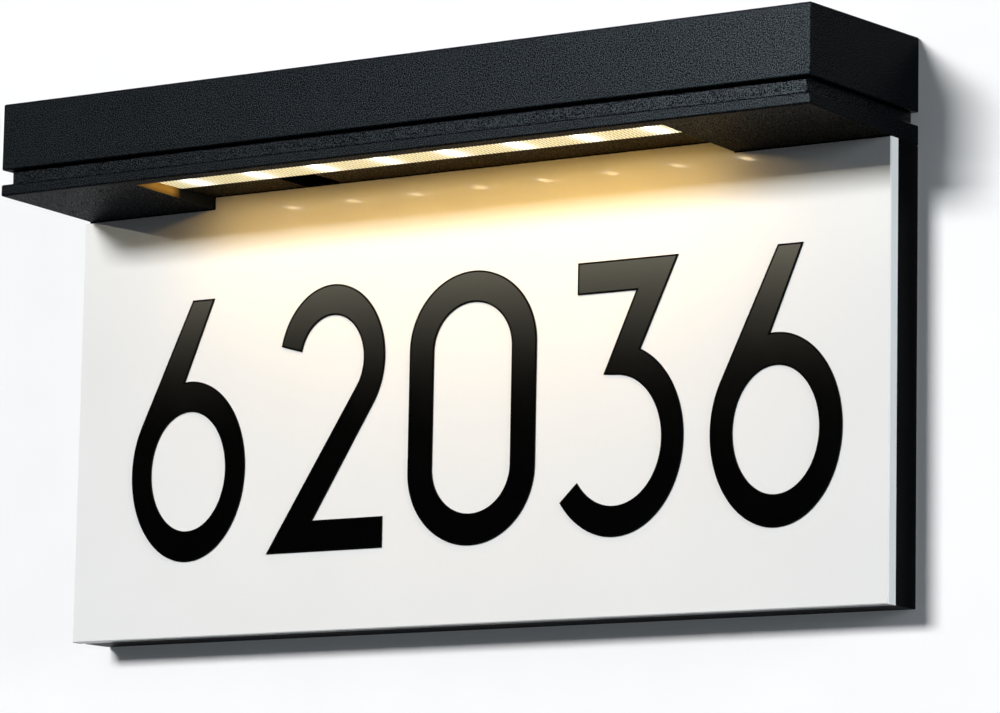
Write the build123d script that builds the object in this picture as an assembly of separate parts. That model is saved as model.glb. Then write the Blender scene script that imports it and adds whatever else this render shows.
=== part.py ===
from build123d import *
import math
import os

# Illuminated house number sign: a lamp hood over a white number plaque, hung on a wall.
# Millimetres. X runs along the sign, Y from the front (-) to the wall (+), Z up.
# The origin is on the wall, midway between the two wall screws of the bracket.
# Heights below are counted from the plaque's bottom edge and turned into Z by z_of().

# --- whole sign ---------------------------------------------------------------
hood_width = 360.0
hood_depth = 75.0          # wall to the hood's front face
plaque_drop = 166.6        # plaque's bottom edge to the hood's front underside edge
screw_line = 115.0         # plaque's bottom edge to the wall screws
seat_gap = 0.1             # between fixed pieces that seat on each other
edge_round = 0.7           # outer edges of the hood
thread_gap = 0.05          # screw shank to its hole, radially
clear_gap = 0.35           # screw shank to a clearance hole, radially

# --- top cover, the upper block of the hood -----------------------------------
groove_front = 5.6         # shadow gap between the cover and the bottom plate
cover_front = 25.8         # cover's height at its front face
cover_rise = 1.5           # its top climbs this much towards the wall
cover_wall = 2.6
cover_roof = 2.4
ledge_height = 3.0         # inner ledge that presses on the gasket
boss_radius = 3.6

# --- solar panel ---------------------------------------------------------------
panel_length = 325.0
panel_width = 58.0
panel_thickness = 2.0
panel_pad = 0.6
panel_pad_width = 6.0
panel_clearance = 0.4
panel_front_margin = 8.0

# --- tray, the inset neck of the hood ------------------------------------------
neck_inset = 3.0
tray_wall = 2.2
tray_floor = 2.4
tray_overlap = 6.0         # how far the tray's wall reaches up inside the cover
tray_clearance = 0.4
gasket_thickness = 1.5

# --- bottom plate ---------------------------------------------------------------
plate_front = 4.4          # height of its front edge
plate_top_rise = 1.1       # its top climbs towards the wall
plate_drop = 2.1           # its underside falls towards the wall
ceiling_height = 3.2       # front underside edge to the ceiling of the light slot
slot_length = 235.0
slot_lip = 6.0             # front edge of the hood to the light slot
slot_shift = -1.2          # the slot's middle from the hood's middle

# --- back pan and plaque ---------------------------------------------------------
pan_depth = 15.2
pan_wall = 2.4
pan_face = 2.0
pan_top = 3.0
pan_left_reach = 1.0       # the pan passes the hood's left end
plaque_thickness = 5.0
plaque_gap = 0.2           # plaque to the pan's face
plaque_left_reach = 2.7    # the plaque passes the hood's left end
plaque_right_reach = 0.5   # and its right end
plaque_chamfer = 0.4
tongue_clearance = 0.4
tape_width = 18.0
tape_length = 120.0
tape_pocket = 0.6
tape_places = (-140.0, -47.0, 47.0, 140.0)
tape_bottom = 20.0

# --- numerals ----------------------------------------------------------------------
digit_height = 100.0
digit_base = 30.0          # plaque's bottom edge to the baseline
digit_thickness = 0.4
digit_overshoot = 1.1      # round strokes pass the cap height and baseline by this
digit_gap = 11.1
digit_left_margin = 27.4   # plaque's left edge to the first numeral
digit_stroke = 11.8        # level strokes
digit_side_stroke = 10.2   # upright and slanted strokes
house_number = "62036"

# --- light strip ---------------------------------------------------------------------
lens_length = 234.0
lens_width = 18.0
lens_back = 33.0           # front face of the hood to the lens's rear edge
lens_proud = 0.5           # lens below the ceiling
lens_flange = 1.4
lens_rebate = 1.3
lens_seal = 0.4
lens_clearance = 0.2
window_width = 10.0
window_margin = 5.0        # window's end to the lens's end
led_count = 8
led_pitch = 29.5
led_size = 5.0
led_height = 1.0
led_board_length = 248.0
led_board_width = 16.0
led_board_thickness = 1.2
led_screw_inset = 3.0

# --- mode button and its switch --------------------------------------------------------
button_x = -66.0
button_from_front = 44.5
button_radius = 4.5
button_travel = 0.8
button_flange_radius = 6.0
button_flange = 1.2
button_recess = 0.8        # button's face above the ceiling
pocket_size = 17.0
pocket_depth = 3.0
pocket_roof = 1.8
pocket_wall = 1.5
button_play = 0.2          # stem to its hole, radially
body_gap = 0.3             # between pieces that move apart
seal_radius = 5.7
seal_height = 1.2
switch_size = 6.0
switch_height = 3.5
plunger_radius = 1.5
plunger_grip = 0.9         # plunger inside the switch when released
plunger_rise = 2.6         # flange to the switch's underside
plunger_play = 0.1

# --- control board -------------------------------------------------------------------------
board_length = 70.0
board_width = 28.0
board_thickness = 1.6
board_left = -101.0
board_front = 33.5         # hood's front face to the board
post_radius = 3.0
post_inset = 4.0
chip_list = ((14.0, 12.0, 9.0, 7.0, 1.6), (12.0, 22.0, 7.0, 7.0, 4.2), (50.0, 14.0, 10.0, 8.0, 1.4))
plug_list = ((22.0, 24.9), (62.0, 14.0))
plug_width = 7.0
plug_depth = 5.0
plug_height = 4.6

# --- battery --------------------------------------------------------------------------------
cell_radius = 9.2
cell_length = 65.0
cell_count = 2
cell_nub_radius = 2.8
cell_nub = 1.0
cell_gap = 0.4             # between cells and to the contacts
cradle_wall = 1.5
cradle_height = 12.0
cradle_left = 4.0
cradle_front = 34.5
contact_thickness = 0.5
contact_width = 12.0
contact_height = 14.0

# --- wires -------------------------------------------------------------------------------------
wire_radius = 0.8

# --- wall bracket and hanging rail ----------------------------------------------------------------
bracket_length = 220.0
sheet = 1.5                # thickness of both steel strips
bracket_below = 15.0       # under the screw line
bracket_above = 14.5       # over it, to the bracket's shelf
shelf_reach = 5.0          # shelf's front edge from the wall
hook_height = 8.5
hook_gap = 0.9             # rail's hook to the bracket, front and back
rail_length = 200.0
rail_reach = 9.0           # rail's front face from the wall
rail_drop = 20.0
bracket_hole_radius = 2.4
bracket_hole_spacing = 160.0
rail_posts = (-85.0, -30.0, 30.0, 85.0)
rail_post_radius = 4.0

# --- screws: shank radius, head radius, head height ---------------------------------------------------
M3 = (1.5, 2.8, 1.8)
M25 = (1.25, 2.2, 1.4)
M2 = (1.0, 1.9, 1.2)
front_screw_places = (-100.0, -35.0, 35.0, 100.0)
front_screw_from_front = 10.6
back_screw_places = (-150.0, -55.0, 55.0, 150.0)
back_screw_from_wall = 8.5
cover_screw_bite = 9.0     # thread inside the cover's bosses
plate_screw_places = ((-150.0, 20.0), (-150.0, 45.0), (150.0, 20.0), (150.0, 45.0))
plate_screw_bite = 2.4
rail_screw_bite = 4.6

# --- worked out from the above ---------------------------------------------------------------------------
left, right = -hood_width / 2, hood_width / 2
front, wall = -hood_depth, 0.0
rim_height = plaque_drop + plate_front
cover_bottom = rim_height + groove_front
cover_top = cover_bottom + cover_front
ceiling = plaque_drop + ceiling_height
floor_top = ceiling + tray_floor
tray_top = cover_bottom + tray_overlap
ledge = tray_top + gasket_thickness
neck_x = right - neck_inset
neck_front = front + neck_inset
pan_left, pan_right = left - pan_left_reach, right
pan_front = wall - pan_depth
plaque_left, plaque_right = left - plaque_left_reach, right + plaque_right_reach
plaque_back = pan_front - plaque_gap
plaque_front = plaque_back - plaque_thickness
panel_recess = panel_thickness + panel_pad
lens_y = front + lens_back - lens_width / 2
lens_left, lens_right = slot_shift - lens_length / 2, slot_shift + lens_length / 2
pocket_top = ceiling + pocket_depth
button_y = front + button_from_front
flange_bottom = pocket_top + pocket_roof + body_gap
flange_top = flange_bottom + button_flange
switch_bottom = flange_top + plunger_rise
board_bottom = switch_bottom + switch_height
board_y = front + board_front


def z_of(height):
    """Z of a height counted from the plaque's bottom edge."""
    return height - screw_line


def slope(start, rise, y):
    """Height at y of a face that climbs by rise from the front of the hood to the wall."""
    return start + rise * (y - front) / hood_depth


def underside(y):
    return slope(plaque_drop, -plate_drop, y)


def cover_face(y):
    return slope(cover_top, cover_rise, y)


def block(x0, x1, y0, y1, low, high):
    """Box from its limits, with its heights counted from the plaque's bottom edge."""
    centre = ((x0 + x1) / 2, (y0 + y1) / 2, z_of((low + high) / 2))
    return Pos(*centre) * Box(x1 - x0, y1 - y0, high - low)


def patch(*points):
    """Flat patch with these corners, facing up whichever way round they are given."""
    area = sum(a[0] * b[1] - b[0] * a[1] for a, b in zip(points, points[1:] + points[:1]))
    return Polygon(*(points if area > 0 else points[::-1]), align=None)


def section(points, x0, x1):
    """Solid along X whose side view has these (y, height) corners."""
    outline = patch(*[(y, z_of(height)) for y, height in points])
    return extrude(Plane.YZ.offset(x0) * outline, amount=x1 - x0)


def post(x, y, low, high, radius):
    """Upright cylinder."""
    middle = z_of((low + high) / 2)
    return Pos(x, y, middle) * Cylinder(radius, high - low)


def rod(x, y0, y1, height, radius):
    """Cylinder along Y."""
    return Pos(x, (y0 + y1) / 2, z_of(height)) * Rot(90, 0, 0) * Cylinder(radius, y1 - y0)


def screw(size, length):
    """Pan-head screw with a cross recess: its shank runs up +Z from the head's seat at 0."""
    shank, head, head_height = size
    slot_width, slot_depth = head * 0.3, head_height * 0.55
    body = Pos(0, 0, length / 2) * Cylinder(shank, length)
    cap = Pos(0, 0, -head_height / 2) * Cylinder(head, head_height)
    cap = fillet(cap.faces().sort_by(Axis.Z)[0].edges(), head_height * 0.4)
    cross = Box(head * 1.3, slot_width, slot_depth) + Box(slot_width, head * 1.3, slot_depth)
    return body + cap - Pos(0, 0, slot_depth / 2 - head_height) * cross


def group(pieces):
    """Separate solids that share one node."""
    return Compound(children=list(pieces))


def rounded(solid, radius):
    """Solid with all its straight outer edges rounded."""
    return fillet(solid.edges(), radius)


# --- hood: cover, panel, tray, plate -----------------------------------------------------------------------
def screw_bosses():
    places = [(x, front + front_screw_from_front) for x in front_screw_places]
    return places + [(x, wall - back_screw_from_wall) for x in back_screw_places]


def make_top_cover():
    shell = section(
        [(front, cover_bottom), (front, cover_top), (wall, cover_face(wall)), (wall, cover_bottom)],
        left, right)
    shell = rounded(shell, edge_round)
    roof = cover_roof + panel_recess
    y0, y1 = front + cover_wall, wall - cover_wall
    inner_x = right - cover_wall
    cavity = section(
        [(y0, ledge + ledge_height), (y0, cover_face(y0) - roof),
         (y1, cover_face(y1) - roof), (y1, ledge + ledge_height)], -inner_x, inner_x)
    skirt_x = neck_x + tray_clearance
    skirt = block(-skirt_x, skirt_x, neck_front - tray_clearance, wall + 1, cover_bottom - 1, ledge)
    throat_x = neck_x - tray_wall
    throat = block(-throat_x, throat_x, neck_front + tray_wall, wall - tray_wall,
                   cover_bottom, ledge + ledge_height + 1)
    shell = shell - cavity - skirt - throat
    for x, y in screw_bosses():
        top = cover_face(y) - roof + 1
        shell += post(x, y, floor_top + seat_gap, top, boss_radius)
    for x, y in screw_bosses():
        depth = floor_top + cover_screw_bite + 1
        shell -= post(x, y, floor_top - 1, depth, M3[0] + thread_gap)
    shell -= panel_slab(panel_clearance, 0, panel_recess + 1)
    return shell - post(*panel_wire_hole(), cover_bottom, cover_top + cover_rise, wire_radius * 2)


def panel_slab(margin, sink, thickness):
    """Slab along the cover's sloped top: sink is how deep its underside lies under the recess."""
    y0 = front + panel_front_margin - margin
    y1 = front + panel_front_margin + panel_width + margin
    low = sink - panel_recess
    half = panel_length / 2 + margin
    return section(
        [(y0, cover_face(y0) + low), (y0, cover_face(y0) + low + thickness),
         (y1, cover_face(y1) + low + thickness), (y1, cover_face(y1) + low)], -half, half)


def panel_wire_hole():
    return board_left + board_length / 2, front + panel_front_margin + panel_width / 2


def make_solar_panel():
    return panel_slab(0, panel_pad, panel_thickness)


def make_solar_pads():
    slab = panel_slab(0, 0, panel_pad)
    y0 = front + panel_front_margin
    y1 = y0 + panel_width
    strips = [(y0, y0 + panel_pad_width), (y1 - panel_pad_width, y1)]
    limits = [block(left, right, a, b, cover_bottom, cover_top + cover_rise + 1) for a, b in strips]
    return group(slab & limit for limit in limits)


def make_hood_tray():
    low = ceiling
    tray = block(-neck_x, neck_x, neck_front, wall, low, tray_top)
    tray = fillet(tray.edges().filter_by(Axis.Z), edge_round)
    inner_x = neck_x - tray_wall
    tray -= block(-inner_x, inner_x, neck_front + tray_wall, wall - tray_wall, floor_top, tray_top + 1)
    half = pocket_size / 2
    outer = half + pocket_wall
    tray += block(button_x - outer, button_x + outer, button_y - outer, button_y + outer,
                  low, pocket_top + pocket_roof)
    tray -= block(button_x - half, button_x + half, button_y - half, button_y + half,
                  low - 1, pocket_top)
    roof_top = pocket_top + pocket_roof
    tray -= post(button_x, button_y, low, roof_top + 1, button_radius + button_play)
    tray -= post(button_x, button_y, roof_top - seal_height, roof_top + 1, seal_radius)
    for x, y in board_posts():
        tray += post(x, y, low + 1, board_bottom, post_radius)
        tray -= post(x, y, board_bottom - M2[0] * 5, board_bottom + 1, M2[0] + thread_gap)
    half_width = lens_width / 2 + lens_clearance
    tray -= block(lens_left - lens_clearance, lens_right + lens_clearance, lens_y - half_width,
                  lens_y + half_width, low - 1, low + lens_rebate)
    tray -= block(lens_left + window_margin, lens_right - window_margin,
                  lens_y - window_width / 2, lens_y + window_width / 2, low, floor_top + 1)
    for x, y in screw_bosses():
        tray -= post(x, y, low - 1, floor_top + 1, M3[0] + clear_gap)
    for x, inset in plate_screw_places:
        tray -= post(x, front + inset, low - 1, floor_top + 1, M25[0] + clear_gap)
    for x in led_screw_places():
        tray -= post(x, lens_y, floor_top - 2.0, floor_top + 1, M2[0] + thread_gap)
    for x, y in cradle_screw_places():
        tray -= post(x, y, floor_top - 2.0, floor_top + 1, M2[0] + thread_gap)
    return tray


def make_tray_gasket():
    inner_x = neck_x - tray_wall
    ring = block(-neck_x, neck_x, neck_front, wall, tray_top, ledge)
    ring = fillet(ring.edges().filter_by(Axis.Z), edge_round)
    return ring - block(-inner_x, inner_x, neck_front + tray_wall, wall - tray_wall,
                        tray_top - 1, ledge + 1)


def make_bottom_plate():
    plate = section(
        [(front, plaque_drop), (front, rim_height), (wall, rim_height + plate_top_rise),
         (wall, underside(wall))], left, right)
    plate = rounded(plate, edge_round)
    nest_x = neck_x + seat_gap
    plate -= block(-nest_x, nest_x, neck_front - seat_gap, wall + 1,
                   ceiling - seat_gap, rim_height + plate_top_rise + 1)
    half_slot = slot_length / 2
    plate -= block(slot_shift - half_slot, slot_shift + half_slot, front + slot_lip, pan_front,
                   0, rim_height + 1)
    for x in back_screw_places:
        plate -= post(x, wall - back_screw_from_wall, 0, rim_height, M3[0] + clear_gap)
    for x, inset in plate_screw_places:
        plate -= post(x, front + inset, ceiling - seat_gap - plate_screw_bite - 0.2, rim_height,
                      M25[0] + thread_gap)
    return plate


# --- light strip ---------------------------------------------------------------------------------------------
def make_lens():
    low = ceiling - lens_proud
    half_width = lens_width / 2
    lens = block(lens_left, lens_right, lens_y - half_width, lens_y + half_width,
                 low, low + lens_flange)
    return chamfer(lens.faces().sort_by(Axis.Z)[0].edges(), lens_proud * 0.8)


def make_lens_seal():
    low = ceiling - lens_proud + lens_flange
    high = ceiling + lens_rebate
    half_width = lens_width / 2
    ring = block(lens_left, lens_right, lens_y - half_width, lens_y + half_width, low, high)
    rim = window_margin - lens_clearance
    half_gap = window_width / 2 + lens_clearance
    return ring - block(lens_left + rim, lens_right - rim, lens_y - half_gap, lens_y + half_gap,
                        0, high + 1)


def led_screw_places():
    reach = led_board_length / 2 - led_screw_inset
    return slot_shift - reach, slot_shift + reach


def make_led_board():
    half, half_width = led_board_length / 2, led_board_width / 2
    board = block(slot_shift - half, slot_shift + half, lens_y - half_width, lens_y + half_width,
                  floor_top, floor_top + led_board_thickness)
    for x in led_screw_places():
        board -= post(x, lens_y, floor_top - 1, floor_top + led_board_thickness + 1,
                      M2[0] + thread_gap)
    return board


def make_led_chips():
    chips = []
    for i in range(led_count):
        x = slot_shift + (i - (led_count - 1) / 2) * led_pitch
        half = led_size / 2
        chip = block(x - half, x + half, lens_y - half, lens_y + half,
                     floor_top - led_height, floor_top)
        dish = Pos(x, lens_y, z_of(floor_top - led_height)) * Cylinder(half * 0.75, 0.4)
        chips.append(chip - dish)
    return group(chips)


def screws_down(size, length, places, seat):
    """Screws driven down from a seat, at (x, y) places."""
    turned = Rot(180, 0, 0) * screw(size, length)
    return group(Pos(x, y, z_of(seat)) * turned for x, y in places)


def screws_up(size, lengths, places, seats):
    """Screws driven up from their seats, at (x, y) places."""
    each = zip(places, seats, lengths)
    return group(Pos(x, y, z_of(seat)) * screw(size, length) for (x, y), seat, length in each)


# --- mode button ------------------------------------------------------------------------------------------------
def make_mode_button():
    face = ceiling + button_recess
    stem = post(button_x, button_y, face, flange_bottom, button_radius)
    stem = fillet(stem.faces().sort_by(Axis.Z)[0].edges(), 0.6)
    return stem + post(button_x, button_y, flange_bottom, flange_top, button_flange_radius)


def make_button_seal():
    top = pocket_top + pocket_roof
    ring = post(button_x, button_y, top - seal_height, top, seal_radius)
    return ring - post(button_x, button_y, 0, top + 1, button_radius + button_play)


def make_switch_plunger():
    return post(button_x, button_y, flange_top, switch_bottom + plunger_grip, plunger_radius)


def make_tact_switch():
    half = switch_size / 2
    body = block(button_x - half, button_x + half, button_y - half, button_y + half,
                 switch_bottom, board_bottom)
    well = plunger_grip + button_travel + body_gap
    return body - post(button_x, button_y, switch_bottom - 1, switch_bottom + well,
                       plunger_radius + plunger_play)


# --- control board -------------------------------------------------------------------------------------------------
def board_posts():
    xs = (board_left + post_inset, board_left + board_length - post_inset)
    ys = (board_y + post_inset, board_y + board_width - post_inset)
    return [(x, y) for x in xs for y in ys]


def make_control_board():
    board = block(board_left, board_left + board_length, board_y, board_y + board_width,
                  board_bottom, board_bottom + board_thickness)
    for x, y in board_posts():
        board -= post(x, y, board_bottom - 1, board_bottom + board_thickness + 1, M2[0] + thread_gap)
    return board


def make_board_chips():
    top = board_bottom + board_thickness
    chips = []
    for along, across, length, width, height in chip_list:
        x, y = board_left + along, board_y + across
        chips.append(block(x - length / 2, x + length / 2, y - width / 2, y + width / 2,
                           top, top + height))
    return group(chips)


def plug_places():
    """Each plug's wire leaves its right-hand side."""
    return [(board_left + along, board_y + across) for along, across in plug_list]


def make_board_plugs():
    top = board_bottom + board_thickness
    plugs = []
    for x, y in plug_places():
        plugs.append(block(x - plug_width / 2, x + plug_width / 2, y - plug_depth / 2,
                           y + plug_depth / 2, top, top + plug_height))
    return group(plugs)


# --- battery ----------------------------------------------------------------------------------------------------------
cradle_length = cell_count * cell_length + (cell_count + 1) * cell_gap
cradle_length += cell_count * cell_nub + 2 * (cradle_wall + contact_thickness)
cradle_width = 2 * (cell_radius + cell_gap + cradle_wall)
cell_y = front + cradle_front + cradle_width / 2
cell_height = floor_top + cradle_wall + cell_gap + cell_radius


def cradle_screw_places():
    reach = 5.0
    return [(cradle_left - reach / 2, cell_y), (cradle_left + cradle_length + reach / 2, cell_y)]


def make_battery_cradle():
    x0, x1 = cradle_left, cradle_left + cradle_length
    y0, y1 = cell_y - cradle_width / 2, cell_y + cradle_width / 2
    body = block(x0, x1, y0, y1, floor_top, floor_top + cradle_height)
    body -= block(x0 + cradle_wall, x1 - cradle_wall, y0 + cradle_wall, y1 - cradle_wall,
                  floor_top + cradle_wall, floor_top + cradle_height + 1)
    for x, y in cradle_screw_places():
        ear = block(x - 3.5, x + 3.5, y - 3.5, y + 3.5, floor_top, floor_top + cradle_wall)
        body += ear
        body -= post(x, y, floor_top - 1, floor_top + cradle_wall + 0.5, M2[0] + thread_gap)
    return body


def make_battery_cells():
    cells = []
    start = cradle_left + cradle_wall + contact_thickness + cell_gap
    for i in range(cell_count):
        x = start + i * (cell_length + cell_nub + cell_gap)
        can = Pos(x + cell_length / 2, cell_y, z_of(cell_height)) * Rot(0, 90, 0) * Cylinder(
            cell_radius, cell_length)
        nub = Pos(x + cell_length + cell_nub / 2, cell_y, z_of(cell_height)) * Rot(
            0, 90, 0) * Cylinder(cell_nub_radius, cell_nub)
        cells.append(can + nub)
    return group(cells)


def make_battery_contacts():
    low = floor_top + cradle_wall
    plates = []
    x0 = cradle_left + cradle_wall
    x1 = cradle_left + cradle_length - cradle_wall - contact_thickness
    for x in (x0, x1):
        plates.append(block(x, x + contact_thickness, cell_y - contact_width / 2,
                            cell_y + contact_width / 2, low, low + contact_height))
    return group(plates)


# --- wires ---------------------------------------------------------------------------------------------------------------
def wire(name, points):
    """Tube through the points, with every corner an arc as large as its runs allow."""
    route = [Vector(x, y, z_of(height)) for x, y, height in points]
    radii = []
    for a, b, c in zip(route, route[1:], route[2:]):
        turn = math.radians((b - a).get_angle(c - b))
        radii.append(0.45 * min((b - a).length, (c - b).length) / math.tan(turn / 2))
    path = FilletPolyline(*route, radius=radii)
    start = Plane(origin=route[0], z_dir=route[1] - route[0])
    tube = sweep(start * Circle(wire_radius), path=path)
    expected = math.pi * wire_radius ** 2 * path.length
    print(name, "radii", [round(r, 1) for r in radii], "volume ratio", round(tube.volume / expected, 4))
    return tube


def make_solar_wire():
    """From the panel's underside down to the first plug."""
    plug_x, plug_y = plug_places()[0]
    x, y = panel_wire_hole()
    top = cover_face(y) - panel_thickness - seat_gap
    plug_side = plug_x + plug_width / 2
    level = board_bottom + board_thickness + plug_height / 2
    return wire("solar wire", [
        (x, y, top), (x, y, top - 7), (x - 3, y + 7, level + 1),
        (plug_side + 7, plug_y, level), (plug_side, plug_y, level)])


def make_battery_wire():
    """From the battery's contact to the second plug."""
    plug_x, plug_y = plug_places()[1]
    plug_side = plug_x + plug_width / 2
    level = board_bottom + board_thickness + plug_height / 2
    low = floor_top + cradle_wall + cradle_height / 2
    y = cell_y + cradle_width / 2 - 4
    return wire("battery wire", [
        (plug_side, plug_y, level), (plug_side + 12, plug_y, level),
        (cradle_left - 14, y, low), (cradle_left, y, low)])


def make_led_wire():
    """From the light strip's board up to the underside of the control board."""
    top = floor_top + led_board_thickness
    x = board_left + 20
    y0, y1 = lens_y + led_board_width / 2 - 2, board_y + 2
    return wire("led wire", [
        (x, y0, top), (x, y0, top + 3), (x, y1, board_bottom - 3), (x, y1, board_bottom)])


# --- back pan, plaque and numerals ------------------------------------------------------------------------------------------
def make_back_pan():
    pan = section(
        [(pan_front, 0), (pan_front, underside(pan_front) - seat_gap),
         (wall, underside(wall) - seat_gap), (wall, 0)], pan_left, pan_right)
    pan = fillet(pan.edges().filter_by(Axis.Z) + pan.edges().filter_by(Axis.X).sort_by(Axis.Z)[:2],
                 edge_round)
    inner_front = pan_front + pan_face
    pan -= section(
        [(inner_front, pan_wall), (inner_front, underside(inner_front) - pan_top),
         (wall + 1, underside(wall + 1) - pan_top), (wall + 1, pan_wall)],
        pan_left + pan_wall, pan_right - pan_wall)
    for x in tape_places:
        pan -= block(x - tape_width / 2, x + tape_width / 2, pan_front - 1, pan_front + tape_pocket,
                     tape_bottom, tape_bottom + tape_length)
    for x in rail_posts:
        pan += rod(x, inner_front - 0.5, wall - rail_reach, rail_screw_line, rail_post_radius)
        pan -= rod(x, wall - rail_reach - rail_screw_bite, wall - rail_reach + 1, rail_screw_line,
                   M3[0] + thread_gap)
    for x in back_screw_places:
        pan -= post(x, wall - back_screw_from_wall, plaque_drop - pan_top * 3, plaque_drop + 1,
                    M3[0] + clear_gap)
    return pan


def plaque_outline():
    """Front view of the plaque: a sheet with a raised tongue that fills the back of the slot."""
    shoulder = z_of(underside(plaque_back) - tongue_clearance / 2)
    crown = z_of(ceiling - tongue_clearance / 2)
    reach = slot_length / 2 - tongue_clearance
    tongue_left, tongue_right = slot_shift - reach, slot_shift + reach
    bottom = z_of(0)
    return patch(
        (plaque_left, bottom), (plaque_right, bottom), (plaque_right, shoulder),
        (tongue_right, shoulder), (tongue_right, crown), (tongue_left, crown),
        (tongue_left, shoulder), (plaque_left, shoulder))


def make_plaque():
    sheet_solid = extrude(Plane.XZ.offset(-plaque_back) * plaque_outline(), amount=plaque_thickness)
    face = sheet_solid.faces().sort_by(Axis.Y)[0]
    outer = [e for e in face.edges() if e.center().Z < z_of(underside(plaque_back)) - 1]
    return chamfer(outer, plaque_chamfer)


def make_plaque_tapes():
    y0, y1 = plaque_back, pan_front + tape_pocket
    return group(
        block(x - tape_width / 2 + seat_gap, x + tape_width / 2 - seat_gap, y0, y1,
              tape_bottom + seat_gap, tape_bottom + tape_length - seat_gap) for x in tape_places)


def tangent_point(x, z, cx, cz, a, b, side):
    """Where the line from (x, z) touches the ellipse at (cx, cz); side picks one of the two."""
    u, v = (x - cx) / a, (z - cz) / b
    turn = math.atan2(v, u) + side * math.acos(1 / math.hypot(u, v))
    return cx + a * math.cos(turn), cz + b * math.sin(turn)


def oval(cx, cz, a, b):
    return Pos(cx, cz) * Ellipse(a, b)


def numeral_zero():
    width = 56.9
    height = digit_height + 2 * digit_overshoot
    inner_width = width - 2 * (digit_side_stroke + 0.8)
    inner_height = height - 2 * digit_stroke
    outer = SlotOverall(height, width, rotation=90)
    return Pos(width / 2, digit_height / 2) * (outer - SlotOverall(inner_height, inner_width, rotation=90))


def numeral_two():
    width, foot = 53.8, digit_stroke
    top = digit_height + digit_overshoot
    cx, a, b = 29.0, 24.5, 29.0
    cz = top - b
    inner_a, inner_b = a - digit_side_stroke + 0.4, b - digit_stroke
    heel = (21.3, foot)
    outer_touch = tangent_point(*heel, cx, cz, a, b, 1)
    inner_touch = tangent_point(0, 0, cx, cz, inner_a, inner_b, 1)
    arch = oval(cx, cz, a, b) - oval(cx, cz, inner_a, inner_b)
    far = 3 * a
    beyond = (2 * outer_touch[0] - inner_touch[0], 2 * outer_touch[1] - inner_touch[1])
    arch -= patch((cx, cz), (cx - far, cz + 0.28 * far), (cx - far, cz - far), (cx, cz - far),
                  beyond, inner_touch)
    return arch + patch((0, 0), (width, 0), (width, foot), heel, outer_touch, inner_touch)


def numeral_three():
    cx, a, b = 23.2, 29.5, 35.1
    cz = b - digit_overshoot
    inner_a, inner_b = a - digit_side_stroke + 0.8, b - digit_stroke + 0.5
    bar = digit_height - digit_stroke
    bowl = oval(cx, cz, a, b) - oval(cx, cz, inner_a, inner_b)
    far = 3 * a
    bowl -= patch((cx, cz), (cx, cz + far), (cx - far, cz + far), (cx - far, cz - 0.93 * far))
    waist = cz + inner_b
    flag = patch(
        (6.5, digit_height), (49.7, digit_height), (34.0, 66.8), (30.0, waist + 1), (cx, waist),
        (18.2, waist + 0.4), (31.9, bar), (6.5, bar))
    return bowl + flag


def numeral_six():
    a, b = 27.3, 34.8
    cx, cz = a, b - digit_overshoot
    inner_a, inner_b = a - digit_side_stroke + 0.8, b - digit_stroke
    stem_left, stem_width = 27.6, 10.5
    touch = tangent_point(stem_left, digit_height, cx, cz, a, b, 1)
    stem = patch(
        (stem_left, digit_height), (stem_left + stem_width, digit_height), (24.6, cz + b - 0.4),
        (cx, cz + inner_b + 3), touch)
    return oval(cx, cz, a, b) + stem - oval(cx, cz, inner_a, inner_b)


glyphs = {"0": numeral_zero, "2": numeral_two, "3": numeral_three, "6": numeral_six}


def make_numerals():
    """One solid for each numeral, set out from the left with even gaps."""
    x = plaque_left + digit_left_margin
    base = z_of(digit_base)
    numerals = []
    for digit in house_number:
        shape = glyphs[digit]()
        box = shape.bounding_box()
        placed = Pos(x - box.min.X, base) * shape
        numerals.append(extrude(Plane.XZ.offset(-plaque_front) * placed, amount=digit_thickness))
        x += box.size.X + digit_gap
    return numerals


# --- wall bracket and hanging rail ---------------------------------------------------------------------------------------------
shelf_height = screw_line + bracket_above
hook_top = shelf_height + hook_height
rail_screw_line = shelf_height - 4.0


def make_wall_bracket():
    bracket = section(
        [(wall, screw_line - bracket_below), (wall, shelf_height), (wall - shelf_reach + sheet, shelf_height),
         (wall - shelf_reach + sheet, hook_top), (wall - shelf_reach, hook_top),
         (wall - shelf_reach, shelf_height - sheet), (wall - sheet, shelf_height - sheet),
         (wall - sheet, screw_line - bracket_below)], -bracket_length / 2, bracket_length / 2)
    for x in (-bracket_hole_spacing / 2, bracket_hole_spacing / 2):
        bracket -= rod(x, wall - sheet - 1, wall + 1, screw_line, bracket_hole_radius)
    return bracket


def make_hanger_rail():
    low = hook_top + body_gap
    high = low + sheet
    hook_front = wall - shelf_reach + sheet + hook_gap
    rail = section(
        [(hook_front, shelf_height + hook_gap), (hook_front, low), (wall - rail_reach + sheet, low),
         (wall - rail_reach + sheet, high - rail_drop), (wall - rail_reach, high - rail_drop),
         (wall - rail_reach, high), (hook_front + sheet, high), (hook_front + sheet, shelf_height + hook_gap)],
        -rail_length / 2, rail_length / 2)
    for x in rail_posts:
        rail -= rod(x, wall - rail_reach - 1, wall - rail_reach + sheet + 1, rail_screw_line,
                    M3[0] + thread_gap)
    return rail


def make_rail_screws():
    turned = Rot(90, 0, 0) * screw(M3, sheet + rail_screw_bite - 0.2)
    seat = wall - rail_reach + sheet
    return group(Pos(x, seat, z_of(rail_screw_line)) * turned for x in rail_posts)


# --- screws of the hood ----------------------------------------------------------------------------------------------------------
def make_hood_front_screws():
    places = screw_bosses()[:len(front_screw_places)]
    length = tray_floor + cover_screw_bite
    return screws_up(M3, [length] * len(places), places, [ceiling] * len(places))


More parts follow.
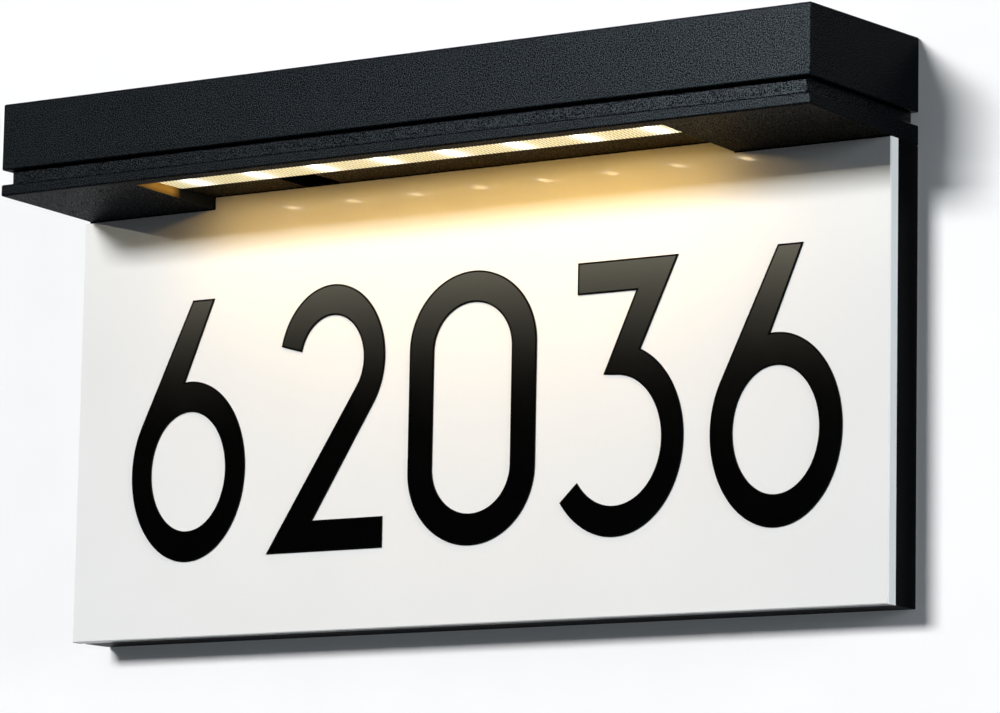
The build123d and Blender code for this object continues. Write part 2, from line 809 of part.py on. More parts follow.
def make_hood_back_screws():
    places = screw_bosses()[len(front_screw_places):]
    seat = underside(wall - back_screw_from_wall) - pan_top - 0.1
    length = floor_top + cover_screw_bite - seat
    return screws_up(M3, [length] * len(places), places, [seat] * len(places))


def make_plate_screws():
    places = [(x, front + inset) for x, inset in plate_screw_places]
    return screws_down(M25, tray_floor + seat_gap + plate_screw_bite, places, floor_top)


def make_led_screws():
    places = [(x, lens_y) for x in led_screw_places()]
    return screws_down(M2, led_board_thickness + 1.8, places, floor_top + led_board_thickness)


def make_board_screws():
    return screws_down(M2, board_thickness + 4.0, board_posts(), board_bottom + board_thickness)


def make_cradle_screws():
    return screws_down(M2, cradle_wall + 1.8, cradle_screw_places(), floor_top + cradle_wall)


nodes = {
    "top_cover": make_top_cover, "solar_panel": make_solar_panel, "solar_panel_tape": make_solar_pads,
    "hood_tray": make_hood_tray, "tray_gasket": make_tray_gasket, "bottom_plate": make_bottom_plate,
    "light_lens": make_lens, "lens_seal": make_lens_seal, "led_board": make_led_board,
    "led_chips": make_led_chips, "led_board_screws": make_led_screws,
    "mode_button": make_mode_button, "button_seal": make_button_seal,
    "switch_plunger": make_switch_plunger, "tact_switch": make_tact_switch,
    "control_board": make_control_board, "board_chips": make_board_chips,
    "board_plugs": make_board_plugs, "board_screws": make_board_screws,
    "battery_cradle": make_battery_cradle, "battery_cells": make_battery_cells,
    "battery_contacts": make_battery_contacts, "cradle_screws": make_cradle_screws,
    "solar_wire": make_solar_wire, "battery_wire": make_battery_wire, "led_wire": make_led_wire,
    "back_pan": make_back_pan, "plaque": make_plaque, "plaque_tapes": make_plaque_tapes,
    "hanger_rail": make_hanger_rail, "rail_screws": make_rail_screws, "wall_bracket": make_wall_bracket,
    "hood_front_screws": make_hood_front_screws, "hood_back_screws": make_hood_back_screws,
    "plate_screws": make_plate_screws,
}

os.makedirs("parts", exist_ok=True)
for name, make in nodes.items():
    export_step(make(), f"parts/{name}.step")
for place, solid in enumerate(make_numerals(), start=1):
    export_step(solid, f"parts/numeral_{place}.step")
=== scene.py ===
import math

import bmesh
import bpy
from mathutils import Matrix, Vector


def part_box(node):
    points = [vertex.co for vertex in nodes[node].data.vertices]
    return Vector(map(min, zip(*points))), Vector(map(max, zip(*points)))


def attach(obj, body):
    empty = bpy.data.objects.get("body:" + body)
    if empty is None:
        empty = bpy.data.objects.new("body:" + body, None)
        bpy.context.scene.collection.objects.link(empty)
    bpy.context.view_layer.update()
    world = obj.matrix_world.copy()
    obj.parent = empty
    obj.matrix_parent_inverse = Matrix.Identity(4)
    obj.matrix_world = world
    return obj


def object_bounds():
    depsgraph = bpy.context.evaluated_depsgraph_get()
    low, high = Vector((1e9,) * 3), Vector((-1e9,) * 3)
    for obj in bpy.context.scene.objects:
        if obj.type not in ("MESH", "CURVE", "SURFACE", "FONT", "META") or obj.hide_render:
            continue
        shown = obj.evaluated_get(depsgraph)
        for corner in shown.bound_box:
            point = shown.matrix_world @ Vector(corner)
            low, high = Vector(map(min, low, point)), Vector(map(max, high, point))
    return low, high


# Illuminated house number sign. Metres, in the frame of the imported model: the origin is on the wall,
# X runs along the sign, Y into the wall, Z up.

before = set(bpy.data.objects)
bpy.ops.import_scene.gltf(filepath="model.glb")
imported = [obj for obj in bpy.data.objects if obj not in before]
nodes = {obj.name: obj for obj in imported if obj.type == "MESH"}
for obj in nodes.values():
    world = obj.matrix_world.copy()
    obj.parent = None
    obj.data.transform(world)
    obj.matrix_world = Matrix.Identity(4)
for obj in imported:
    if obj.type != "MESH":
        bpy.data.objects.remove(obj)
cad_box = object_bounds()
scene = bpy.context.scene
MM = 0.001

# --- places on the sign ------------------------------------------------------------------------
slot_shift = -1.2 * MM             # middle of the light slot, from the hood's middle
slot_half = 117.5 * MM             # half the length of the slot's opening
slot_reach = 121.0 * MM            # the slot's walls lie within this of the hood's middle
slot_back = -19.0 * MM             # and in front of this
button_x = -66.0 * MM
pocket_half = 8.7 * MM             # half of the button's square pocket, with a margin
pocket_front = -39.2 * MM
plate_low_at_plaque = 50.07 * MM   # the bottom plate's underside at the plaque's face
lens_low, lens_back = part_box("light_lens")[0][2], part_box("light_lens")[1][1]

# the light-emitting chips stand on one line over the lens
led_y = -51.0 * MM
led_pitch = 29.5 * MM
led_shares = (0.85, 0.95, 1.0, 1.1, 1.2, 1.3, 1.35, 1.0)    # how bright each one is


def added(name, data):
    """A new object in the scene."""
    obj = bpy.data.objects.new(name, data)
    scene.collection.objects.link(obj)
    return obj


def cad_low(node):
    """The lowest height of a CAD node, as the frame is posed."""
    return min((node.matrix_world @ v.co).z for v in node.data.vertices)


# --- node helpers --------------------------------------------------------------------------------
def put(tree, kind, settings=None, **inputs):
    """Adds a node. Inputs are named with _ for a space, or by number as _0. A socket is linked and a
    value is set."""
    n = tree.nodes.new(kind)
    for key, value in (settings or {}).items():
        setattr(n, key, value)
    for key, value in inputs.items():
        socket = n.inputs[int(key[1:])] if key[1:].isdigit() else n.inputs[key.replace("_", " ")]
        if isinstance(value, bpy.types.NodeSocket):
            tree.links.new(value, socket)
        else:
            socket.default_value = value
    return n


def maths(tree, operation, a, b=0.0, c=0.0):
    return put(tree, "ShaderNodeMath", {"operation": operation}, _0=a, _1=b, _2=c).outputs[0]


def product(tree, *values):
    total = values[0]
    for value in values[1:]:
        total = maths(tree, "MULTIPLY", total, value)
    return total


def ranged(tree, value, from_min, from_max, to_min=0.0, to_max=1.0):
    """Carries one range over to the other, held at its ends."""
    n = put(tree, "ShaderNodeMapRange", Value=value, From_Min=from_min, From_Max=from_max,
            To_Min=to_min, To_Max=to_max)
    return n.outputs["Result"]


def mixed(tree, share, first, second):
    """First colour where share is 0, second where it is 1."""
    n = put(tree, "ShaderNodeMix", {"data_type": "RGBA"}, Factor=share, _6=first, _7=second)
    return n.outputs[2]


def ramp(tree, fac, stops):
    n = put(tree, "ShaderNodeValToRGB", Fac=fac)
    points = n.color_ramp.elements
    while len(points) < len(stops):
        points.new(0.5)
    for point, (place, colour) in zip(points, stops):
        point.position = place
        point.color = (*colour, 1.0)
    return n.outputs["Color"]


def texture_axes(tree, kind):
    """X, Y and Z of a texture coordinate, such as Object or Normal."""
    coordinate = put(tree, "ShaderNodeTexCoord").outputs[kind]
    return put(tree, "ShaderNodeSeparateXYZ", Vector=coordinate).outputs


def scaled_noise(tree, scale, stretch=(1, 1, 1), detail=3.0, rough=0.5):
    place = put(tree, "ShaderNodeTexCoord").outputs["Object"]
    if stretch != (1, 1, 1):
        place = put(tree, "ShaderNodeMapping", Vector=place, Scale=stretch).outputs["Vector"]
    n = put(tree, "ShaderNodeTexNoise", Vector=place, Scale=scale, Detail=detail, Roughness=rough)
    return n.outputs["Fac"]


def patchy(tree, low, high, scale=45.0, detail=4.0, noise_low=0.3, noise_high=0.7):
    """Slow patches between these two values."""
    patches = scaled_noise(tree, scale, detail=detail)
    return ranged(tree, patches, noise_low, noise_high, low, high)


def relief(tree, height, strength, depth):
    """Surface direction of a bump this deep, in mm."""
    n = put(tree, "ShaderNodeBump", Height=height, Strength=strength, Distance=depth * MM)
    return n.outputs["Normal"]


def blank(name, **values):
    """A new Principled material, with constants set on the shader's own sockets."""
    m = bpy.data.materials.new(name)
    m.use_nodes = True
    shader = m.node_tree.nodes["Principled BSDF"]
    for key, value in values.items():
        shader.inputs[key.replace("_", " ")].default_value = value
    return m, m.node_tree, shader


def apply(tree, shader, **sockets):
    """Links these to the shader's inputs, which are named with _ for a space."""
    for key, socket in sockets.items():
        tree.links.new(socket, shader.inputs[key.replace("_", " ")])


def grained(name, low, high, scale, roughness, bump=0.2, depth=0.1, stretch=(1, 1, 1), detail=3.0,
            **values):
    """Grain of two tones with matching bump, and slow patches of roughness. depth is in mm."""
    m, tree, shader = blank(name, **values)
    grain = scaled_noise(tree, scale, stretch, detail)
    wear = 0.12 * roughness
    apply(tree, shader,
          Base_Color=ramp(tree, grain, [(0.35, low), (0.65, high)]),
          Roughness=patchy(tree, roughness - wear, roughness + wear),
          Normal=relief(tree, grain, bump, depth))
    return m


# --- the hood's coat and the pan's plastic ---------------------------------------------------------
painted_wall_reflection_colour = (0.0115, 0.0138, 0.0175, 1)    # painted reflection of the pale wall on the underside's left end, bluer
painted_lens_glow_colour = (0.5, 0.26, 0.05, 1)            # painted orange glow of the lens on the slot's end wall beside it
front_shine, side_shine, back_shine = 0.33, 0.045, 0.4


def painted_glow_tone(tree, tone, painted_glow_colour, grain, facing, below):
    """The coat's tone by place, with painted glow and reflection: browner on the underside and the slot's
    walls, painted glow of the lens's light; bluer at the underside's left end, painted reflection of the
    pale wall; orange on the slot's left end wall, painted glow beside the lens; plain in the button's
    pocket."""
    place = texture_axes(tree, "Object")
    in_slot = product(tree, maths(tree, "GREATER_THAN", facing["Y"], -0.3),
                      maths(tree, "LESS_THAN", maths(tree, "ABSOLUTE", place["X"]), slot_reach),
                      maths(tree, "LESS_THAN", place["Y"], slot_back))
    from_button = maths(tree, "ABSOLUTE", maths(tree, "SUBTRACT", place["X"], button_x))
    in_pocket = product(tree, maths(tree, "LESS_THAN", from_button, pocket_half),
                        maths(tree, "GREATER_THAN", place["Y"], pocket_front))
    glow_painted_share = maths(tree, "SUBTRACT", maths(tree, "MAXIMUM", below, in_slot), in_pocket)
    brown = ramp(tree, grain, [(0.3, tuple(0.85 * c for c in painted_glow_colour)), (0.7, painted_glow_colour)])
    rightward = ranged(tree, place["X"], -155 * MM, -95 * MM)
    tone = mixed(tree, glow_painted_share, tone, mixed(tree, rightward, painted_wall_reflection_colour, brown))
    # painted orange glow of the lens on the slot's left end wall, near the lens
    along_lens = ranged(tree, place["Y"], lens_back, lens_back - 5 * MM)
    near_lens = ranged(tree, place["Z"], lens_low - 4.5 * MM, lens_low - 1.5 * MM)
    faces_right = maths(tree, "GREATER_THAN", facing["X"], 0.5)
    beside_lens = product(tree, in_slot, faces_right, along_lens, near_lens)
    return mixed(tree, beside_lens, tone, painted_lens_glow_colour)


def coat_material(name, painted_glow_colour=None):
    """Textured black powder coat. Its grain glints on the front and the back, and less on the other
    faces. painted_glow_colour, if given, is painted glow on the underside and on the light slot's walls."""
    m, tree, shader = blank(name, Specular_Tint=(0.72, 0.88, 1.0, 1))
    facing = texture_axes(tree, "Normal")
    grain = scaled_noise(tree, 2600.0, detail=1.0, rough=0.6)
    below = maths(tree, "LESS_THAN", facing["Z"], -0.7)
    tone = ramp(tree, grain, [(0.4, (0.0004, 0.0006, 0.0008)), (0.62, (0.0044, 0.0055, 0.007))])
    # painted glow and reflection on the underside and in the light slot
    if painted_glow_colour:
        tone = painted_glow_tone(tree, tone, painted_glow_colour, grain, facing, below)
    turned_away = maths(tree, "MAXIMUM", facing["Y"], maths(tree, "MULTIPLY", facing["Z"], 0.5))
    elsewhere = ranged(tree, turned_away, 0.3, 0.8, side_shine, back_shine)
    by_side = ranged(tree, facing["Y"], -0.2, -0.9, elsewhere, front_shine)
    shine = product(tree, by_side, maths(tree, "MULTIPLY_ADD", below, -0.3, 1.0))
    bump_strength = maths(tree, "MULTIPLY_ADD", below, -0.11, 0.15)
    apply(tree, shader,
          Base_Color=tone,
          Specular_IOR_Level=ranged(tree, grain, 0.49, 0.66, 0.0, shine),
          Roughness=patchy(tree, 0.3, 0.33),
          Normal=relief(tree, grain, bump_strength, 0.03))
    return m


def pan_material():
    """Moulded black plastic: very dark outside, and lighter and shinier on the faces turned towards the
    wall.
    """
    m, tree, shader = blank("pan_black")
    inside = maths(tree, "GREATER_THAN", texture_axes(tree, "Normal")["Y"], 0.3)
    grain = scaled_noise(tree, 1300.0)
    outer = ramp(tree, grain, [(0.35, (0.0006, 0.0007, 0.001)), (0.65, (0.0013, 0.0015, 0.002))])
    inner = ramp(tree, grain, [(0.35, (0.008, 0.0082, 0.009)), (0.65, (0.016, 0.0165, 0.018))])
    apply(tree, shader,
          Base_Color=mixed(tree, inside, outer, inner),
          Specular_IOR_Level=maths(tree, "MULTIPLY_ADD", inside, 0.3, 0.015),
          Roughness=patchy(tree, 0.33, 0.42),
          Normal=relief(tree, grain, 0.1, 0.03))
    return m


# --- the plaque, the numerals, the lens and the solar panel ----------------------------------------
def plaque_material():
    """White acrylic with a polished, faintly wavy skin."""
    m, tree, shader = blank("plaque_white", Coat_Weight=0.5, Coat_Roughness=0.03, Coat_IOR=1.49,
                            Specular_IOR_Level=0.1)
    cloud = scaled_noise(tree, 18.0, detail=4.0)
    waves = relief(tree, scaled_noise(tree, 9.0, detail=1.0), 0.04, 0.4)
    apply(tree, shader,
          Base_Color=ramp(tree, cloud, [(0.3, (0.745, 0.75, 0.746)), (0.7, (0.765, 0.769, 0.766))]),
          Roughness=patchy(tree, 0.45, 0.5, scale=70.0, detail=5.0, noise_low=0.35),
          Normal=waves, Coat_Normal=waves)
    return m


def numeral_material():
    """Glossy black film with a slight orange peel."""
    m, tree, shader = blank("numeral_black", IOR=1.5)
    film = scaled_noise(tree, 900.0, detail=2.0)
    apply(tree, shader,
          Base_Color=ramp(tree, film, [(0.3, (0.0002, 0.0002, 0.0002)), (0.7, (0.0005, 0.0005, 0.0005))]),
          Roughness=patchy(tree, 0.045, 0.055, scale=60.0, detail=3.0),
          Normal=relief(tree, film, 0.012, 0.05))
    return m


def lens_material():
    """Prismatic lens over the warm chips: a hot spot at each, and dotted prisms between them."""
    m, tree, shader = blank("lens_opal", Roughness=0.3, IOR=1.49)
    place = texture_axes(tree, "Object")
    # distance along X to the nearest chip, and along Y to the chips' line
    turns = maths(tree, "DIVIDE", maths(tree, "SUBTRACT", place["X"], slot_shift), led_pitch)
    off = maths(tree, "ABSOLUTE", maths(tree, "SUBTRACT", maths(tree, "FRACT", turns), 0.5))
    along = maths(tree, "MULTIPLY", off, led_pitch)
    across = maths(tree, "SUBTRACT", place["Y"], led_y)

    def squared_ratio(distance, reach):
        return maths(tree, "POWER", maths(tree, "DIVIDE", distance, reach), 2.0)

    def bell(reach_x, reach_y):
        """One at a chip, falling off over these distances."""
        far = maths(tree, "ADD", squared_ratio(along, reach_x), squared_ratio(across, reach_y))
        return maths(tree, "EXPONENT", maths(tree, "MULTIPLY", far, -1.0))

    def wave(axis, pitch):
        return maths(tree, "SINE", maths(tree, "MULTIPLY", place[axis], 2 * math.pi / pitch))

    core, halo = bell(1.6 * MM, 3.3 * MM), bell(5.0 * MM, 13.0 * MM)
    core_strength, halo_strength = 48.0, 0.8
    dots = product(tree, wave("X", 1.6 * MM), wave("Y", 8.0 * MM))
    prism = ranged(tree, dots, -0.4, 0.4, 1.15, 0.2)
    lit = product(tree, prism, maths(tree, "MULTIPLY_ADD", halo, halo_strength, 1.0))
    heat = maths(tree, "MAXIMUM", core, maths(tree, "MULTIPLY", halo, 0.5))
    apply(tree, shader,
          Emission_Color=ramp(tree, heat, [(0.0, (1.0, 0.87, 0.5)), (0.4, (1.0, 0.97, 0.84)),
                                           (1.0, (1.0, 0.47, 0.035))]),
          Emission_Strength=maths(tree, "MULTIPLY_ADD", core, core_strength, lit),
          Base_Color=ramp(tree, prism, [(0.2, (0.03, 0.02, 0.01)), (1.0, (0.3, 0.26, 0.16))]),
          Normal=relief(tree, dots, 0.4, 0.1))
    return m


def solar_material():
    """Dark cells under glass, with pale collector lines."""
    m, tree, shader = blank("solar_glass", Roughness=0.12, Coat_Weight=0.8, Coat_Roughness=0.03)
    place = texture_axes(tree, "Object")

    def lines(axis, pitch, width):
        """One on lines across this axis, the first of them through the middle."""
        shift = 100.5    # whole turns that keep it positive, and the half that centres the line
        turn = maths(tree, "FRACT", maths(tree, "ADD", maths(tree, "DIVIDE", place[axis], pitch), shift))
        near = maths(tree, "ABSOLUTE", maths(tree, "SUBTRACT", turn, 0.5))
        return maths(tree, "LESS_THAN", near, width / pitch / 2)

    fingers = lines("X", 1.6 * MM, 0.12 * MM)
    bars = lines("Y", 19.0 * MM, 0.9 * MM)
    gaps = lines("X", 27.0 * MM, 0.8 * MM)
    crystal = scaled_noise(tree, 350.0, detail=2.0)
    cell = ramp(tree, crystal, [(0.35, (0.006, 0.012, 0.035)), (0.65, (0.012, 0.028, 0.08))])
    wired = mixed(tree, maths(tree, "MAXIMUM", fingers, bars), cell, (0.22, 0.24, 0.28, 1))
    apply(tree, shader, Base_Color=mixed(tree, gaps, wired, (0.012, 0.013, 0.016, 1)))
    return m


# --- the materials, and what wears them ------------------------------------------------------------
hood_coat = coat_material("hood_coat")
# the plate's and the tray's tones on the underside and in the light slot are painted glow: the lens's
# light, and the lit plaque's light reflected onto the underside
plate_coat = coat_material("plate_coat", painted_glow_colour=(0.013, 0.0115, 0.009))
tray_coat = coat_material("tray_coat", painted_glow_colour=(0.048, 0.034, 0.015))
tray_black = grained("tray_black", (0.0008, 0.0008, 0.0009), (0.0018, 0.0018, 0.002), 1600.0, 0.42,
                     depth=0.05, Specular_IOR_Level=0.0)
pan_black = pan_material()
rim_black = grained("numeral_rim", (0.0002, 0.0002, 0.0002), (0.0006, 0.0006, 0.0006), 1500.0, 0.6,
                    bump=0.1, depth=0.02, Specular_IOR_Level=0.01)
rubber = grained("seal_rubber", (0.003, 0.003, 0.003), (0.008, 0.008, 0.008), 1200.0, 0.75, bump=0.3,
                 Specular_IOR_Level=0.2)
foam = grained("foam_tape", (0.55, 0.55, 0.53), (0.82, 0.82, 0.8), 2500.0, 0.9, bump=0.6)
board_green = grained("circuit_board", (0.012, 0.075, 0.035), (0.025, 0.15, 0.07), 700.0, 0.35,
                      bump=0.15, stretch=(1, 0.25, 1))
board_white = grained("led_board_white", (0.78, 0.78, 0.76), (0.88, 0.88, 0.86), 600.0, 0.4, bump=0.05)
phosphor = grained("led_phosphor", (0.85, 0.6, 0.12), (0.95, 0.75, 0.22), 2500.0, 0.5)
moulded_black = grained("chip_black", (0.015, 0.015, 0.015), (0.04, 0.04, 0.04), 2200.0, 0.6, bump=0.3)
moulded_white = grained("plug_white", (0.62, 0.6, 0.54), (0.78, 0.76, 0.7), 1500.0, 0.5, bump=0.15)
cell_wrap = grained("cell_wrap", (0.03, 0.13, 0.32), (0.05, 0.19, 0.44), 200.0, 0.25, bump=0.1,
                    stretch=(0.2, 1, 1))
zinc = grained("screw_steel", (0.42, 0.42, 0.42), (0.68, 0.68, 0.67), 900.0, 0.32, bump=0.15,
               depth=0.03, Metallic=1.0)
galvanised = grained("rail_steel", (0.38, 0.39, 0.4), (0.62, 0.63, 0.64), 130.0, 0.36, bump=0.12,
                     depth=0.05, stretch=(0.35, 1, 1), detail=5.0, Metallic=1.0)
red_wire = grained("wire_red", (0.3, 0.02, 0.02), (0.48, 0.035, 0.03), 1000.0, 0.45, bump=0.15)
black_wire = grained("wire_black", (0.01, 0.01, 0.01), (0.03, 0.03, 0.03), 1000.0, 0.45, bump=0.15)
plaque_white, numeral_black = plaque_material(), numeral_material()
lens_opal, solar_glass = lens_material(), solar_material()

materials = {
    hood_coat: ["top_cover"],
    plate_coat: ["bottom_plate"],
    tray_coat: ["hood_tray"],
    tray_black: ["mode_button", "battery_cradle"],
    pan_black: ["back_pan"],
    plaque_white: ["plaque"],
    numeral_black: [f"numeral_{n}" for n in range(1, 6)],
    lens_opal: ["light_lens"],
    solar_glass: ["solar_panel"],
    rubber: ["tray_gasket", "lens_seal", "button_seal"],
    foam: ["solar_panel_tape", "plaque_tapes"],
    board_green: ["control_board"],
    board_white: ["led_board"],
    phosphor: ["led_chips"],
    moulded_black: ["board_chips", "tact_switch"],
    moulded_white: ["board_plugs", "switch_plunger"],
    cell_wrap: ["battery_cells"],
    zinc: ["led_board_screws", "board_screws", "cradle_screws", "rail_screws", "hood_front_screws",
           "hood_back_screws", "plate_screws", "battery_contacts"],
    galvanised: ["hanger_rail", "wall_bracket"],
    red_wire: ["solar_wire", "battery_wire"],
    black_wire: ["led_wire"],
}
for material, names in materials.items():
    for name in names:
        slots = nodes[name].data.materials
        slots.clear()
        slots.append(material)
bare = set(nodes) - {name for names in materials.values() for name in names}
assert not bare, bare

# --- pieces that the scene adds: the numerals' dull rims, and a black bead along the plaque's top as painted shade in the joint ---
rim_width, rim_proud = 0.65 * MM, 0.03 * MM
front_skin = 0.01 * MM       # a face that is all within this of the front is the front face
flat_angle = math.radians(0.5)
bead_radius = 0.32 * MM
bead_sink = 0.4 * bead_radius


def numeral_rim(node):
    """A thin raised band just inside the outline of a numeral's front face."""
    shape = bmesh.new()
    shape.from_mesh(node.data)
    front_y = min(v.co.y for v in shape.verts)
    others = [f for f in shape.faces if any(v.co.y > front_y + front_skin for v in f.verts)]
    bmesh.ops.delete(shape, geom=others, context="FACES")
    bmesh.ops.dissolve_limit(shape, angle_limit=flat_angle, verts=[], edges=shape.edges,
                             use_dissolve_boundaries=False)
    middle = shape.faces[:]
    bmesh.ops.inset_region(shape, faces=middle, thickness=rim_width, use_boundary=True,
                           use_even_offset=True)
    bmesh.ops.delete(shape, geom=middle, context="FACES")
    bmesh.ops.solidify(shape, geom=shape.faces[:], thickness=rim_proud)
    bmesh.ops.recalc_face_normals(shape, faces=shape.faces[:])
    mesh = bpy.data.meshes.new(node.name + "_rim")
    shape.to_mesh(mesh)
    shape.free()
    rim = added(mesh.name, mesh)
    rim.location.y = -rim_proud
    mesh.materials.append(rim_black)
    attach(rim, "sign")


def painted_shade_bead():
    """A thin black bead where the plaque's face meets the hood, round the step at the light slot: painted
    shade of the narrow gap in that joint.
    """
    hood_end, front_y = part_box("bottom_plate")[1][0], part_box("plaque")[0][1]
    ceiling_z, plate_z = cad_low(nodes["hood_tray"]), plate_low_at_plaque
    slot_left, slot_right = slot_shift - slot_half, slot_shift + slot_half
    route = [(-hood_end, plate_z), (slot_left, plate_z), (slot_left, ceiling_z),
             (slot_right, ceiling_z), (slot_right, plate_z), (hood_end, plate_z)]
    curve = bpy.data.curves.new("plaque_shade_bead", "CURVE")
    curve.dimensions = "3D"
    curve.bevel_depth = bead_radius
    curve.bevel_resolution = 3
    curve.use_fill_caps = True
    line = curve.splines.new("POLY")
    line.points.add(len(route) - 1)
    for point, (x, z) in zip(line.points, route):
        point.co = (x, front_y - bead_sink, z - bead_sink, 1)
    bead = added(curve.name, curve)
    curve.materials.append(rim_black)
    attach(bead, "sign")


for name in materials[numeral_black]:
    numeral_rim(nodes[name])
painted_shade_bead()


# --- camera --------------------------------------------------------------------------------------
def heading_of(az, el):
    """Unit vector from the sign at an azimuth that counts from the front towards the right."""
    a, e = math.radians(az), math.radians(el)
    return Vector((math.sin(a) * math.cos(e), -math.cos(a) * math.cos(e), math.sin(e)))


plaque_low = -115.0                  # the plaque's bottom edge, in mm from the origin
target = Vector((22.65, -30.4, 96.3 + plaque_low)) * MM    # what the middle of the picture shows
camera_distance = 1780.2 * MM
camera_roll = math.radians(1.058)
sensor_width = 36.0
focal_ratio = 4.8794                 # focal length over sensor width

backward = heading_of(34.536, -8.636)
across = (-backward).cross(Vector((0, 0, 1))).normalized()
upward = across.cross(-backward)
rolled = (across * math.cos(camera_roll) + upward * math.sin(camera_roll),
          upward * math.cos(camera_roll) - across * math.sin(camera_roll), backward)
camera = added("camera", bpy.data.cameras.new("camera"))
camera.location = target + backward * camera_distance
camera.rotation_mode = "QUATERNION"
camera.rotation_quaternion = Matrix(rolled).transposed().to_quaternion()
camera.data.sensor_width = sensor_width
camera.data.lens = sensor_width * focal_ratio
camera.data.clip_start = 0.05
camera.data.clip_end = 60.0
scene.camera = camera

# --- floor and wall ----------------------------------------------------------------------------------
scene.view_settings.view_transform = "Standard"
reach, floor_z, wall_y = 6.0, -1.1, 0.4 * MM


def flat(name, corners, paint):
    mesh = bpy.data.meshes.new(name)
    mesh.from_pydata(corners, [], [tuple(range(len(corners)))])
    mesh.materials.append(paint)
    obj = added(name, mesh)
    return obj


def pale(name, lift):
    """Pale backdrop that takes shadows, clear from behind; lift is what it adds for the camera alone."""
    m = bpy.data.materials.new(name)
    m.use_nodes = True
    tree = m.node_tree
    tree.nodes.clear()
    grain = scaled_noise(tree, 30.0, detail=4.0)
    tone = ramp(tree, grain, [(0.3, (0.9, 0.905, 0.915)), (0.7, (0.92, 0.922, 0.93))])
    diffuse = put(tree, "ShaderNodeBsdfDiffuse", Color=tone).outputs[0]
    seen = maths(tree, "MULTIPLY", put(tree, "ShaderNodeLightPath").outputs["Is Camera Ray"], lift)
    glow = put(tree, "ShaderNodeEmission", Color=(0.86, 0.94, 1.0, 1), Strength=seen).outputs[0]
    total = put(tree, "ShaderNodeAddShader", _0=diffuse, _1=glow).outputs[0]
    from_behind = put(tree, "ShaderNodeNewGeometry").outputs["Backfacing"]
    clear = put(tree, "ShaderNodeBsdfTransparent").outputs[0]
    one_sided = put(tree, "ShaderNodeMixShader", _0=from_behind, _1=total, _2=clear).outputs[0]
    put(tree, "ShaderNodeOutputMaterial", Surface=one_sided)
    return m


# The wall is open to gloss right behind the sign, so that its back shows the bright side of the room.
(hole_left, _, hole_low), (hole_right, _, hole_high) = cad_box
wall_paint = pale("wall_paint", 0.03)
for name, x0, x1, z0, z1, in_gloss in (
        ("wall_left", -reach, hole_left, floor_z, reach, True),
        ("wall_right", hole_right, reach, floor_z, reach, True),
        ("wall_below", hole_left, hole_right, floor_z, hole_low, True),
        ("wall_above", hole_left, hole_right, hole_high, reach, True),
        ("wall_behind", hole_left, hole_right, hole_low, hole_high, False)):
    corners = [(x0, wall_y, z0), (x1, wall_y, z0), (x1, wall_y, z1), (x0, wall_y, z1)]
    piece = flat(name, corners, wall_paint)
    piece.visible_diffuse = piece.visible_shadow = False
    piece.visible_glossy = piece.visible_transmission = in_gloss
floor = flat("floor", [(-reach, -reach, floor_z), (reach, -reach, floor_z), (reach, reach, floor_z),
                       (-reach, reach, floor_z)], pale("floor_paint", 0.3))
floor.visible_diffuse = floor.visible_glossy = False


# --- lamps -------------------------------------------------------------------------------------------
def aimed(name, lamp, az, el):
    """A lamp that shines at the sign from this direction."""
    obj = added(name, lamp)
    obj.rotation_mode = "QUATERNION"
    obj.rotation_quaternion = heading_of(az, el).to_track_quat("Z", "Y")
    return obj


def sun(name, az, el, strength, angle, colour=(1, 1, 1)):
    lamp = bpy.data.lights.new(name, "SUN")
    lamp.energy, lamp.angle, lamp.color = strength, math.radians(angle), colour
    aimed(name, lamp, az, el)


def panel(name, az, el, distance, spread_az, spread_el, irradiance):
    """A distant panel that fills these angles as the sign sees it."""
    lamp = bpy.data.lights.new(name, "AREA")
    lamp.shape = "RECTANGLE"
    lamp.size, lamp.size_y = (2 * distance * math.tan(math.radians(a / 2)) for a in (spread_az, spread_el))
    lamp.energy = irradiance * math.pi * distance ** 2
    obj = aimed(name, lamp, az, el)
    obj.location = heading_of(az, el) * distance
    obj.visible_camera = False
    return obj


sun("side_fill", az=84.5, el=8, strength=2.4, angle=30, colour=(0.9, 0.96, 1.0))
sun("rear_fill", az=205, el=38, strength=1.3, angle=20)
panel("key", az=-15.5, el=17.0, distance=10.0, spread_az=18, spread_el=9, irradiance=3.22)
# glances off glossy surfaces only, above all the hood's front: no matt surface gets its light
glance = panel("hood_glance", az=-22, el=14, distance=5.0, spread_az=6, spread_el=3, irradiance=0.7)
glance.visible_diffuse = False

# the chips' light on the plaque: one small lamp under the lens at each, tipped towards the plaque
chip_z = cad_low(nodes["light_lens"]) - 0.3 * MM
chip_size, chip_spread, chip_tip = 4.0 * MM, math.radians(150), math.radians(25)
chip_power, chip_colour = 0.0088, (1.0, 0.56, 0.06)
middle_chip = (len(led_shares) - 1) / 2
for place, share in enumerate(led_shares):
    lamp = bpy.data.lights.new(f"chip_lamp_{place + 1}", "AREA")
    lamp.shape, lamp.size, lamp.spread = "DISK", chip_size, chip_spread
    lamp.energy, lamp.color = chip_power * share, chip_colour
    obj = added(lamp.name, lamp)
    obj.location = (slot_shift + (place - middle_chip) * led_pitch, led_y, chip_z)
    obj.rotation_euler = (chip_tip, 0, 0)
    obj.visible_camera = obj.visible_glossy = False

# --- world -------------------------------------------------------------------------------------------
world = bpy.data.worlds.new("studio")
scene.world = world
world.use_nodes = True
sky = world.node_tree
sky.nodes.clear()
rays = put(sky, "ShaderNodeLightPath").outputs
heading = texture_axes(sky, "Generated")
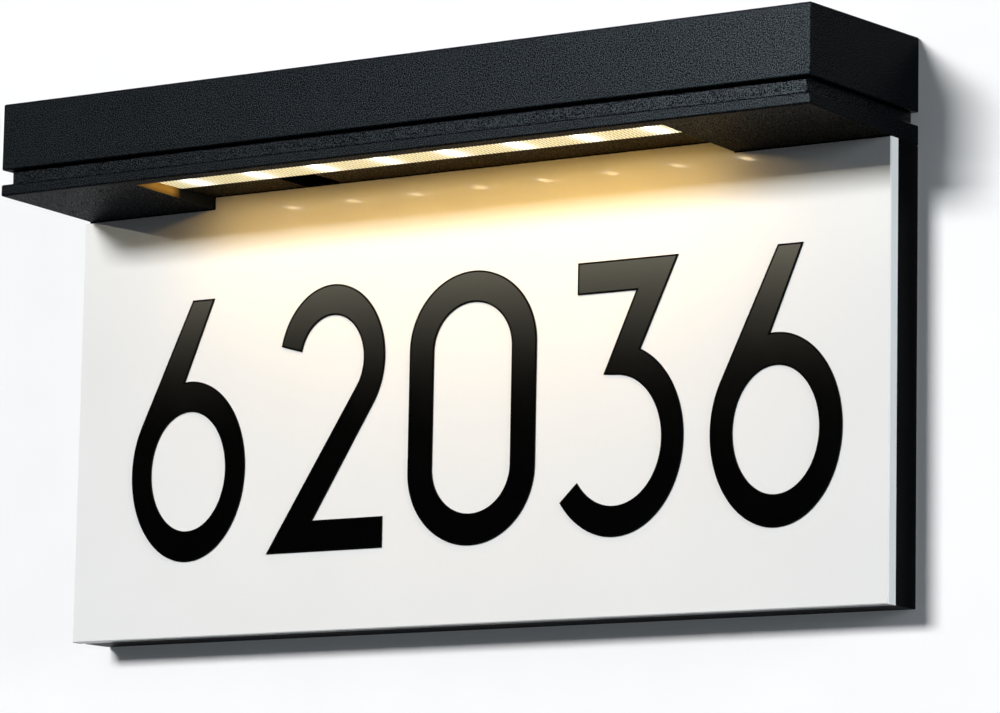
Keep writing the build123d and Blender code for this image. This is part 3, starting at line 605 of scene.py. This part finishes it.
# gloss and glass see the white of the wall's side of the room, and the dim side in front of the sign
mirrored = maths(sky, "MAXIMUM", rays["Is Glossy Ray"], rays["Is Transmission Ray"])
behind = product(sky, mirrored, maths(sky, "GREATER_THAN", heading["Y"], 0.0))
shows_white = maths(sky, "MAXIMUM", rays["Is Camera Ray"], behind)
# Low on the front left, gloss and glass see a strip. Where the front reflects it to the camera it
# brightens upwards from about 8 to 10 degrees and ends at about 11, and its edges climb to the right.
strip_slope, strip_lift = 0.0816, 0.0419    # its edges' height over the heading's X, as a line
strip_dark, strip_full = 0.143, 0.178       # heights above that line
strip_fading, strip_gone = 0.19, 0.2
strip_right, strip_whole = -0.2, -0.4       # the heading's X where it begins, and where it is whole
strip_curve, strip_strength = 2.7, 4.5
edge_height = maths(sky, "MULTIPLY_ADD", heading["X"], strip_slope, strip_lift)
climb = maths(sky, "SUBTRACT", heading["Z"], edge_height)
rise = maths(sky, "POWER", ranged(sky, climb, strip_dark, strip_full), strip_curve)
profile = product(sky, rise, ranged(sky, climb, strip_gone, strip_fading))
leftward = ranged(sky, heading["X"], strip_right, strip_whole)
in_front = product(sky, leftward, maths(sky, "LESS_THAN", heading["Y"], 0.0))
seen_in_gloss = product(sky, in_front, mirrored, strip_strength)
strip = put(sky, "ShaderNodeBackground", Color=(1.0, 0.93, 0.72, 1),
            Strength=product(sky, profile, seen_in_gloss)).outputs[0]
ambient_strength, ambient_in_gloss = 0.062, 0.01
ambient = put(sky, "ShaderNodeBackground", Color=(0.83, 0.92, 1.0, 1),
              Strength=maths(sky, "MULTIPLY_ADD", mirrored, ambient_in_gloss - ambient_strength,
                             ambient_strength)).outputs[0]
dim = put(sky, "ShaderNodeAddShader", _0=strip, _1=ambient).outputs[0]
white = put(sky, "ShaderNodeBackground", Color=(0.98, 0.985, 1.0, 1), Strength=1.0).outputs[0]
shown = put(sky, "ShaderNodeMixShader", _0=shows_white, _1=dim, _2=white).outputs[0]
put(sky, "ShaderNodeOutputWorld", Surface=shown)
